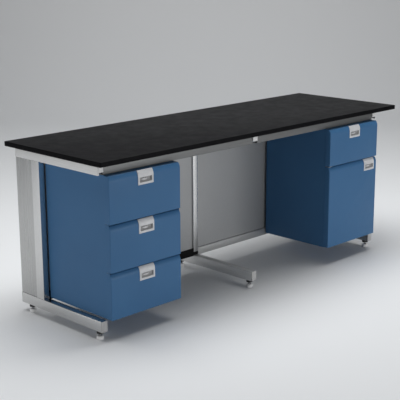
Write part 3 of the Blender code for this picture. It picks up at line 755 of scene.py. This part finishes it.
HALF_ACROSS = spaced(
    (0.0002, 1), (0.0006, 1), (RIM_RADIUS, 1), (0.0084, 2), (0.0090, 1), (0.0094, 1),
    (0.0120, 4), (HANDLE_WIDTH / 2, 9))
ACROSS = HALF_ACROSS + [HANDLE_WIDTH - x for x in reversed(HALF_ACROSS[:-1])]
UP = spaced(
    (0.0002, 1), (0.0006, 1), (RIM_RADIUS, 1), (WINDOW_BOTTOM - 0.0006, 2), (WINDOW_BOTTOM, 1),
    (WINDOW_BOTTOM + 0.0004, 1), (WINDOW_BOTTOM + 0.0120, 9), (WINDOW_TOP - 0.0034, 4),
    (WINDOW_TOP - 0.0004, 4), (WINDOW_TOP, 1), (WINDOW_TOP + 0.0006, 1), (HANDLE_FLAT, 1),
    (HANDLE_LENGTH - RIM_RADIUS, 16), (HANDLE_LENGTH - 0.0006, 1), (HANDLE_LENGTH - 0.0002, 1),
    (HANDLE_LENGTH, 1))


def smooth_step(share):
    share = max(0.0, min(1.0, share))
    return share * share * (3 - 2 * share)


def rim_drop(distance):
    """How far the rounded rim falls at a distance from the handle's edge."""
    if distance >= RIM_RADIUS:
        return 0.0
    # max() guards the root against rounding at the edge itself
    return RIM_RADIUS - math.sqrt(max(0.0, RIM_RADIUS ** 2 - (RIM_RADIUS - distance) ** 2))


def window_margins(x, up):
    """Distances inside the window's sides, bottom and top."""
    return min(x - WINDOW_LEFT, WINDOW_RIGHT - x), up - WINDOW_BOTTOM, WINDOW_TOP - up


def boss(x, up):
    """Over 0 inside the low oval boss near the middle of the pocket."""
    return (1.0 - ((x - HANDLE_WIDTH / 2 + 0.003) / 0.021) ** 2
            - ((up - WINDOW_BOTTOM - 0.0140) / 0.0062) ** 2)


def pocket_depth(x, up):
    """Depth of the finger pocket: a scoop, steep at the top, sloping out at the bottom."""
    from_side, from_bottom, from_top = window_margins(x, up)
    if min(from_side, from_bottom, from_top) <= 0:
        return 0.0
    sides = smooth_step(from_side / 0.0030)
    lower = math.sin(min(1.0, from_bottom / 0.0150) * math.pi / 2) ** 0.8
    upper = smooth_step(from_top / 0.0030)
    raised = 1.0 - 0.45 * smooth_step(1.6 * boss(x, up))
    return POCKET_DEPTH * sides * lower * upper * raised


def skin_heights(x, up):
    """Heights of the skin's front and back surfaces out from the face."""
    rim = rim_drop(min(x, HANDLE_WIDTH - x, up, HANDLE_LENGTH - up))
    depth = pocket_depth(x, up)
    back = SKIN_IN
    inside = min(window_margins(x, up)) + 0.0014
    if inside > 0:
        back -= 0.0112 * smooth_step(inside / 0.0030) + 0.0010
        back = min(back, SKIN_OUT - depth - 0.0012)
    outer = SKIN_OUT - rim - depth
    return outer, min(back, outer - 0.0006)


def pull(name, front_node):
    """The moulded pull: a skin laid over the rolled edge, with a scooped finger pocket."""
    node = name + "_handle"
    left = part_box(node)[0].x
    front_low, front_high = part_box(front_node)
    face, top = front_low.y, front_high.z
    bottom = top - HANDLE_HEIGHT

    def point(x, up, out):
        if up <= HANDLE_FLAT:
            return (left + x, face - out, bottom + up)
        angle = (up - HANDLE_FLAT) / ROLL_RADIUS
        radius = ROLL_RADIUS + out
        return (left + x, face + ROLL_RADIUS - radius * math.cos(angle),
                top - ROLL_RISE + radius * math.sin(angle))

    shape = bmesh.new()
    outer, inner = [], []
    for up in UP:
        outer.append([])
        inner.append([])
        for x in ACROSS:
            for grid, out in zip((outer, inner), skin_heights(x, up)):
                grid[-1].append(shape.verts.new(point(x, up, out)))
    last_i, last_j = len(ACROSS) - 1, len(UP) - 1
    for grid in (outer, inner):
        for j in range(last_j):
            for i in range(last_i):
                shape.faces.new(
                    (grid[j][i], grid[j][i + 1], grid[j + 1][i + 1], grid[j + 1][i]))
    for i in range(last_i):
        for j in (0, last_j):
            shape.faces.new((outer[j][i], outer[j][i + 1], inner[j][i + 1], inner[j][i]))
    for j in range(last_j):
        for i in (0, last_i):
            shape.faces.new((outer[j][i], outer[j + 1][i], inner[j + 1][i], inner[j][i]))
    skin = piece(name + "_pull", shape, BODY_OF[node], HANDLE, node, smooth=50)
    # Painted shade: the pocket, but not its boss, is darker than the rim round it, standing in for
    # the shade inside the recess.
    skin.data.materials.append(POCKET_SHADE)
    for polygon in skin.data.polygons:
        centre = polygon.center
        x, up = centre.x - left, centre.z - bottom
        sunk = centre.y > face - SKIN_OUT + 0.0012 and pocket_depth(x, up) > 0.0008
        if sunk and up < HANDLE_FLAT and boss(x, up) < 0.35:
            polygon.material_index = 1


for name, front_node in [(drawer, drawer + "_front") for drawer in DRAWERS] + [
        ("door", "door_outer_panel")]:
    rolled_front(name, front_node)
    if name in RETURN_ABOVE:
        side_returns(name, front_node, RETURN_ABOVE[name])
    pull(name, front_node)

# ---- CAD pieces shown as they are ----


def keep_cad(node, material, bevel):
    """Give a CAD piece its own finish and rounded edges."""
    obj = NODES[node]
    for slot in obj.material_slots:
        slot.material = material
    if not obj.material_slots:
        obj.data.materials.append(material)
    weld = obj.modifiers.new("weld", "WELD")
    weld.merge_threshold = 0.00001
    rounded = obj.modifiers.new("rounded_edges", "BEVEL")
    rounded.width = bevel
    rounded.segments = 2
    rounded.limit_method = "ANGLE"
    rounded.angle_limit = math.radians(35.0)
    rounded.harden_normals = True
    return obj


def drawer_box(drawer):
    """Galvanised box, with blue faces close behind its front."""
    box = keep_cad(drawer + "_box", GALVANISED, bevel=0.0004)
    box.data.materials.append(BLUE)
    blue_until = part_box(drawer + "_front")[1].y + 0.0022
    for polygon in box.data.polygons:
        if (box.matrix_world @ polygon.center).y < blue_until:
            polygon.material_index = 1


for side in ("left", "right"):
    keep_cad(side + "_pedestal_carcass", BLUE, bevel=0.0006)
for drawer in DRAWERS:
    drawer_box(drawer)
    for hand in ("left", "right"):
        keep_cad(f"{drawer}_slide_{hand}", ZINC, bevel=0.0004)
keep_cad("door_inner_panel", BLUE, bevel=0.0004)
keep_cad("cupboard_shelf", BLUE, bevel=0.0005)
keep_cad("door_catch", NYLON, bevel=0.0005)
for where in ("upper", "lower"):
    keep_cad(f"door_{where}_pivot_bracket", ZINC, bevel=0.0003)
    keep_cad(f"door_{where}_pivot_bush", NYLON, bevel=0.0003)

# ---- Stage: pale floor that curves up into a plain backdrop ----

AWAY = Vector((0.6874, 0.6836, 0.0)).normalized()  # level, towards the backdrop
FLOOR_START, FLOOR_END = -12.0, 5.2
BEND_RADIUS = 2.6
BEND_STEPS = 16
BACKDROP_HEIGHT = 9.0
BACKDROP_HALF_WIDTH = 14.0


def backdrop():
    paper = studio_paper()
    # distance away, z
    path = [(FLOOR_START, 0.0), (FLOOR_END, 0.0)]
    for n in range(1, BEND_STEPS + 1):
        angle = math.pi / 2 * n / BEND_STEPS
        path.append((FLOOR_END + BEND_RADIUS * math.sin(angle),
                     BEND_RADIUS * (1 - math.cos(angle))))
    path.append((FLOOR_END + BEND_RADIUS, BACKDROP_HEIGHT))
    sideways = Vector((AWAY.y, -AWAY.x, 0.0))
    shape = bmesh.new()
    near, far = (
        [shape.verts.new(AWAY * away + sideways * offset + Vector((0, 0, z))) for away, z in path]
        for offset in (-BACKDROP_HALF_WIDTH, BACKDROP_HALF_WIDTH))
    for n in range(len(path) - 1):
        shape.faces.new((near[n], far[n], far[n + 1], near[n + 1]))
    obj = add_object("backdrop", shape)
    obj.data.materials.append(paper)
    obj.data.shade_smooth()


backdrop()

# ---- Light ----


def studio_world():
    world = bpy.data.worlds.new("studio")
    bpy.context.scene.world = world
    world.use_nodes = True
    background = world.node_tree.nodes["Background"]
    background.inputs["Color"].default_value = (0.80, 0.82, 0.84, 1.0)
    background.inputs["Strength"].default_value = 0.13


def area_light(name, at, aim, size, power):
    data = bpy.data.lights.new(name, "AREA")
    data.shape = "RECTANGLE"
    data.size, data.size_y = size
    data.energy = power
    obj = bpy.data.objects.new(name, data)
    COLLECTION.objects.link(obj)
    obj.location = at
    obj.rotation_mode = "QUATERNION"
    obj.rotation_quaternion = (Vector(aim) - Vector(at)).to_track_quat("-Z", "Y")


studio_world()
area_light("overhead", at=(0.15, 0.34, 4.2), aim=(0.0, 0.0, 0.0), size=(4.8, 2.6), power=200.0)
area_light("left_low", at=(-4.6, 1.0, 1.1), aim=(0.0, 0.0, 0.6), size=(3.0, 1.4), power=32.0)
area_light("front_low", at=(1.0, -5.4, 0.75), aim=(0.0, 0.0, 0.5), size=(4.4, 1.3), power=90.0)
area_light("backdrop_wash", at=AWAY * 4.0 + Vector((0, 0, 5.0)),
           aim=AWAY * 7.5 + Vector((0, 0, 1.0)), size=(6.0, 2.0), power=68.0)

# ---- Camera ----

YAW = math.radians(45.158)  # from +Y towards +X
PITCH = math.radians(14.188)  # downwards
ROLL = math.radians(-0.225)
CAMERA_OFFSET = (-2.9707, -3.6089)  # x and y from the worktop's front left corner
CAMERA_HEIGHT = 1.8955


def add_camera():
    forward = Vector((
        math.sin(YAW) * math.cos(PITCH), math.cos(YAW) * math.cos(PITCH), -math.sin(PITCH)))
    level = Vector((math.cos(YAW), -math.sin(YAW), 0.0))
    upright = level.cross(forward)
    right = level * math.cos(ROLL) + upright * math.sin(ROLL)
    up = -level * math.sin(ROLL) + upright * math.cos(ROLL)
    data = bpy.data.cameras.new("camera")
    data.sensor_width = 36.0
    data.lens = 91.736
    data.clip_end = 100.0
    camera = bpy.data.objects.new("camera", data)
    COLLECTION.objects.link(camera)
    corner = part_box("worktop")[0]
    camera.matrix_world = Matrix((
        (right.x, up.x, -forward.x, corner.x + CAMERA_OFFSET[0]),
        (right.y, up.y, -forward.y, corner.y + CAMERA_OFFSET[1]),
        (right.z, up.z, -forward.z, CAMERA_HEIGHT),
        (0.0, 0.0, 0.0, 1.0),
    ))
    bpy.context.scene.camera = camera


add_camera()
bpy.context.scene.view_settings.view_transform = "Standard"
